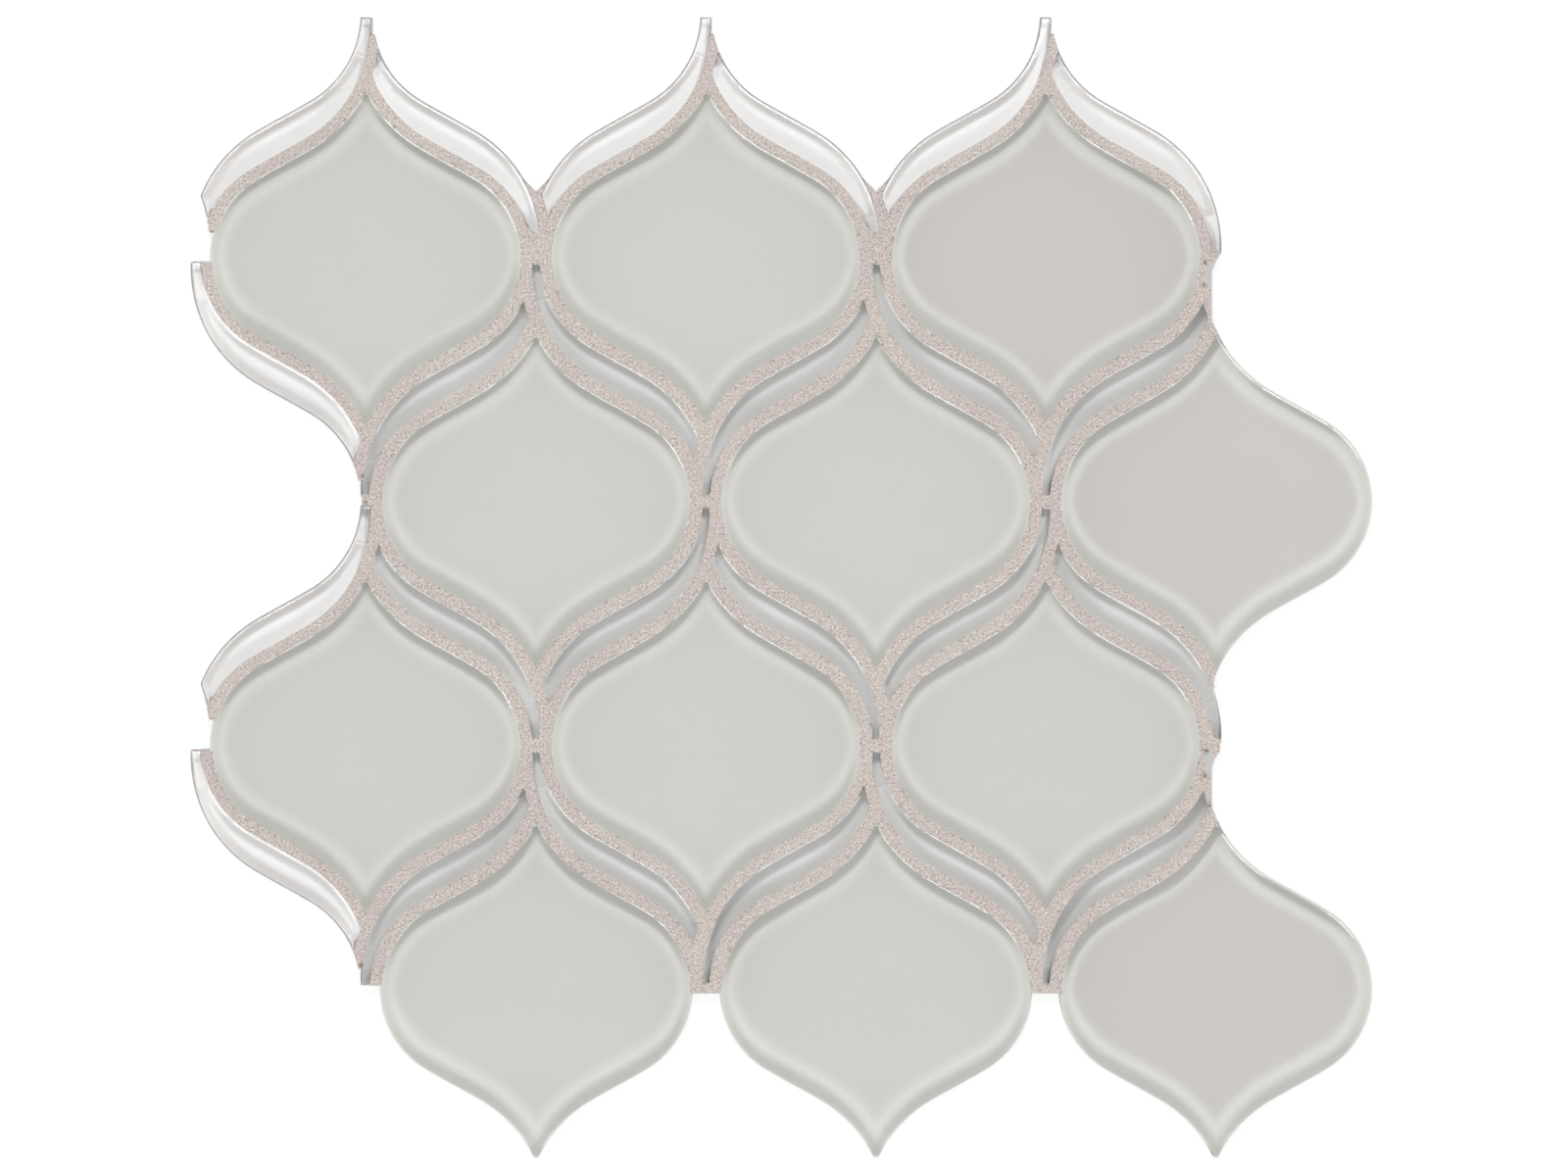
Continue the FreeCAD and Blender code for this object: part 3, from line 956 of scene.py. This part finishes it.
def make_grout(outlines):
    """One closed piece of grout that fills the joints and laps over the rims beside them."""
    loops = [with_neck_wedges(without_broken(loop)) for loop in top_loops("grout")]
    low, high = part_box("grout")
    glass_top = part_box("lantern_r1_c1")[1].z / MM
    dense = np.vstack([smoothed(outline, FINE_STEP) for outline in outlines])
    glass_tree = tree_of(dense)
    corner_tree = tree_of(np.vstack(outlines))

    # The outlines of the glass, and the bare edges of the grout that join them
    points, rims = np.empty((0, 2)), []
    normals = [outward(outline) for outline in outlines]
    for outline in outlines:
        rims.append(list(range(len(points), len(points) + len(outline))))
        points = np.vstack([points, outline])
    edges, bare_points = [], []
    for run in bare_runs(loops, glass_tree):
        even = evened_open(run, GROUT_STEP)[1:]
        start, end = (corner_tree.find((*run[k], 0))[1] for k in (0, -1))
        edges += open_edges([start, *range(len(points), len(points) + len(even)), end])
        points = np.vstack([points, even])
        bare_points.append(even)
    walls, wall_points = len(edges), len(points)
    shift = np.zeros((wall_points, 2))
    shift[: len(np.vstack(normals))] = np.vstack(normals) * GROUT_CLEARANCE

    # Points on the rims for the laps, with their depth in the glass, and a grid in the joints
    depth = [np.zeros(wall_points)]
    grouted_points = []
    for outline, normal in zip(outlines, normals):
        grouted = inside(loops, outline + normal * JUST_OUTSIDE)
        both = grouted & np.roll(grouted, -1)
        following = np.roll(outline, -1, 0)
        grouted_points += [outline[both] * (1 - t) + following[both] * t for t in QUARTERS]
        width = np.array([lap_width(x, y) for x, y in outline])
        for share in LAP_SHARES:
            moved = outline - normal * (width * share)[:, None]
            away = distance_to(outline, moved)
            kept = grouted & (away > width * share * LAP_KEPT)
            ids = np.where(kept, len(points) + np.cumsum(kept) - 1, -1)
            points = np.vstack([points, moved[kept]])
            depth.append(away[kept])
            if share == LAP_SHARES[-1]:
                edges += [(int(a), int(b)) for a, b in zip(ids, np.roll(ids, -1)) if min(a, b) >= 0]
    keep_off = tree_of(np.vstack([dense, *bare_points]))
    grid = grid_points(loops, GROUT_STEP)
    away = nearest_distances(keep_off, grid)
    grid = grid[away > GROUT_STEP * GRID_KEEP_OFF]
    points = np.vstack([points, grid])
    depth = np.concatenate([*depth, -nearest_distances(glass_tree, grid)])

    # The faces in the joints, and the faces on the rims that the grout reaches
    flat, own, in_glass, source = joint_triangles(points, edges, rims, walls)
    given = [ids[0] if ids else None for ids in source]
    depth = np.array([0.0 if k is None else depth[k] for k in given])
    lap_tree = tree_of(np.vstack(grouted_points))
    centres = np.array([flat[list(face)].mean(0) for face in in_glass])
    reach = nearest_distances(lap_tree, centres)
    width = np.array([lap_width(x, y) for x, y in flat])
    limit = np.array([width[list(face)].mean() for face in in_glass])
    laps = [face for face, near in zip(in_glass, reach < limit) if near]

    border = {i for side in rim_sides(own + laps) for i in side}
    laps = [face for face in laps if not border.issuperset(face)]

    # The upper side, and the flat lower side
    height = grout_height(flat, depth, width, high.z / MM, glass_top)
    vertices = [*np.column_stack([flat, height])]
    faces = [list(face) for face in own + laps]

    bottom_flat, bottom_faces, _, bottom_source = joint_triangles(
        points[:wall_points], edges[:walls], rims, walls
    )
    foot = {}
    for k, ids in enumerate(bottom_source):
        foot[ids[0]] = len(vertices)
        vertices.append((*(bottom_flat[k] + shift[ids[0]]), low.z / MM))
    faces += [[foot[bottom_source[i][0]] for i in reversed(face)] for face in bottom_faces]

    # The underside of the laps, just over the glass, and the walls down to the lower side
    lap_sides = {tuple(sorted(side)) for face in laps for side in sides_of(face)}
    lap_points = {i for face in laps for i in face}
    under = {i: i for i in lap_points}
    for i in lap_points:
        if i not in border:
            rim_height = glass_top - face_drop(depth[i])
            place = flat[i] + (shift[given[i]] if depth[i] == 0 and given[i] is not None else 0)
            under[i] = len(vertices)
            vertices.append((*place, rim_height + GROUT_CLEARANCE / 2))
    faces += [[under[i] for i in reversed(face)] for face in laps]
    for a, b in rim_sides(own):
        if given[a] not in foot or given[b] not in foot:
            continue
        lapped = (min(a, b), max(a, b)) in lap_sides
        upper = [under[b], under[a]] if lapped else [b, a]
        faces.append([foot[given[a]], foot[given[b]], *upper])
    used = sorted({i for face in faces for i in face})
    number = {i: k for k, i in enumerate(used)}
    vertices = [vertices[i] for i in used]
    faces = [[number[i] for i in face] for face in faces]
    grout = new_piece("sanded_grout", np.array(vertices), faces, [grout_material()], sharp_angle=60)
    point_attribute(grout, "dirt", [dirt_at(x, y) for x, y, _ in vertices])
    point_attribute(grout, "stub", [stub_at(x, y) for x, y, _ in vertices])
    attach(grout, "root")
    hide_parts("grout")
    return grout


# Net

def shared_spans(first, second):
    """The stretches that lie in both of two lists of stretches."""
    both = [(max(a, c), min(b, d)) for a, b in first for c, d in second]
    return [(a, b) for a, b in both if b > a]


def thread_runs(loops, axis):
    """The threads along one direction, as (level, start, end), kept inside the sheet's outline."""
    levels = np.vstack(loops)[:, axis]
    count = int((levels.max() - levels.min()) / NET_PITCH)
    first = (levels.max() + levels.min() - count * NET_PITCH) / 2
    for k in range(count + 1):
        level = first + k * NET_PITCH
        spans = level_spans(loops, level, axis)
        for side in (-NET_THREAD / 2, NET_THREAD / 2):
            spans = shared_spans(spans, level_spans(loops, level + side, axis))
        for a, b in spans:
            if b - a > 2 * NET_MARGIN + NET_THREAD:
                yield k, level, a + NET_MARGIN, b - NET_MARGIN


def make_net():
    """An open net of flat threads that pass over and under each other."""
    loops = [without_broken(loop) for loop in top_loops("mesh_backing")]
    low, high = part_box("mesh_backing")
    middle = (low.z + high.z) / 2 / MM
    swing = (high.z - low.z) / MM / 2 - NET_THREAD_HEIGHT / 2 - GROUT_CLEARANCE
    corner = np.vstack(loops).min(0)
    sides = len(NET_SECTION)
    vertices, faces = [], []
    for axis in (0, 1):
        for k, level, start, end in thread_runs(loops, axis):
            along = 1 - axis
            steps = max(1, round((end - start) / (NET_PITCH / 2)))
            for j in range(steps + 1):
                at = start + (end - start) * j / steps
                phase = math.pi * ((at - corner[along]) / NET_PITCH + k + axis)
                z = middle + swing * math.cos(phase)
                for across, up in NET_SECTION:
                    spot = [0.0, 0.0, z + up * NET_THREAD_HEIGHT]
                    spot[axis] = level + across * NET_THREAD
                    spot[along] = at
                    vertices.append(spot)
            first = len(vertices) - sides * (steps + 1)
            for j in range(steps):
                for i in range(sides):
                    a, b = first + sides * j + i, first + sides * j + (i + 1) % sides
                    c, d = a + sides, b + sides
                    faces.append([a, b, d, c] if axis == 0 else [b, a, c, d])
            last = len(vertices) - sides
            ends = [list(range(first, first + sides)), list(range(last, last + sides))]
            faces.append(ends[0][::-1] if axis == 0 else ends[0])
            faces.append(ends[1] if axis == 0 else ends[1][::-1])
    net = new_piece("woven_net", np.array(vertices), faces, [net_material()], sharp_angle=70)
    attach(net, "root")
    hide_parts("mesh_backing")
    return net


# Camera, floor and light

def make_camera():
    data = bpy.data.cameras.new("camera")
    camera = bpy.data.objects.new("camera", data)
    bpy.context.scene.collection.objects.link(camera)
    top = CAD_BOX[1].z / MM
    data.sensor_width = SENSOR
    data.lens = SENSOR * (CAMERA_HEIGHT - top) / VIEW_WIDTH
    data.clip_end = CAMERA_SEES_TO * MM
    camera.location = Vector((*VIEW_CENTRE, CAMERA_HEIGHT)) * MM
    bpy.context.scene.camera = camera


def make_floor():
    mesh = bpy.data.meshes.new("floor")
    reach = FLOOR_REACH * MM
    corners = [(-reach, -reach, 0), (reach, -reach, 0), (reach, reach, 0), (-reach, reach, 0)]
    mesh.from_pydata(corners, [], [(0, 1, 2, 3)])
    mesh.materials.append(floor_material())
    floor = bpy.data.objects.new("floor", mesh)
    bpy.context.scene.collection.objects.link(floor)
    floor.location.z = -FLOOR_GAP * MM
    floor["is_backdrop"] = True


def make_lamp(name, zenith, azimuth, width, share, height=None):
    """A lamp that looks at the sheet. Its share is its part of the level light on the sheet."""
    data = bpy.data.lights.new(name, "AREA")
    data.shape = "RECTANGLE"
    data.size = width * MM
    data.size_y = (height or width) * MM
    distance = LAMP_DISTANCE * MM
    data.energy = share * math.pi**2 * distance**2 / math.cos(math.radians(zenith))
    lamp = bpy.data.objects.new(name, data)
    tilt, turn = math.radians(zenith), math.radians(azimuth)
    direction = Vector((
        math.sin(tilt) * math.cos(turn), math.sin(tilt) * math.sin(turn), math.cos(tilt)
    ))
    lamp.location = direction * distance
    lamp.rotation_euler = direction.to_track_quat("Z", "Y").to_euler()
    bpy.context.scene.collection.objects.link(lamp)
    return lamp


def make_lamps():
    """Two soft lamps light the sheet, and a row of low ones only draws glints on its rims."""
    for name, settings in LAMPS.items():
        lamp = make_lamp(name, **settings)
        lamp.visible_glossy = False
    for azimuth, share in GLINT_SHARES.items():
        lamp = make_lamp(
            f"glint_{azimuth}", GLINT_ZENITH, azimuth, GLINT_WIDTH, share, GLINT_HEIGHT
        )
        lamp.visible_diffuse = False
        lamp.visible_transmission = False


def make_world():
    """An even pale studio, which is plain white where it is looked at."""
    world = bpy.data.worlds.new("studio")
    bpy.context.scene.world = world
    world.use_nodes = True
    nodes, links = world.node_tree.nodes, world.node_tree.links
    nodes.clear()
    path = add(nodes, "ShaderNodeLightPath")
    glow = add(nodes, "ShaderNodeBackground", {"Color": (1, 1, 1, 1), "Strength": WORLD_SHARE})
    seen = add(nodes, "ShaderNodeBackground", {"Color": (1, 1, 1, 1), "Strength": 1.0})
    mix = add(nodes, "ShaderNodeMixShader")
    out = add(nodes, "ShaderNodeOutputWorld")
    links.new(path.outputs["Is Camera Ray"], mix.inputs["Fac"])
    links.new(glow.outputs["Background"], mix.inputs[1])
    links.new(seen.outputs["Background"], mix.inputs[2])
    links.new(mix.outputs["Shader"], out.inputs["Surface"])


def main():
    outlines = make_glass()
    make_grout(outlines)
    make_net()
    make_camera()
    make_floor()
    make_world()
    make_lamps()
    bpy.context.scene.view_settings.view_transform = "Standard"


main()
[[list(corner) for corner in box] for box in (CAD_BOX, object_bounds())]
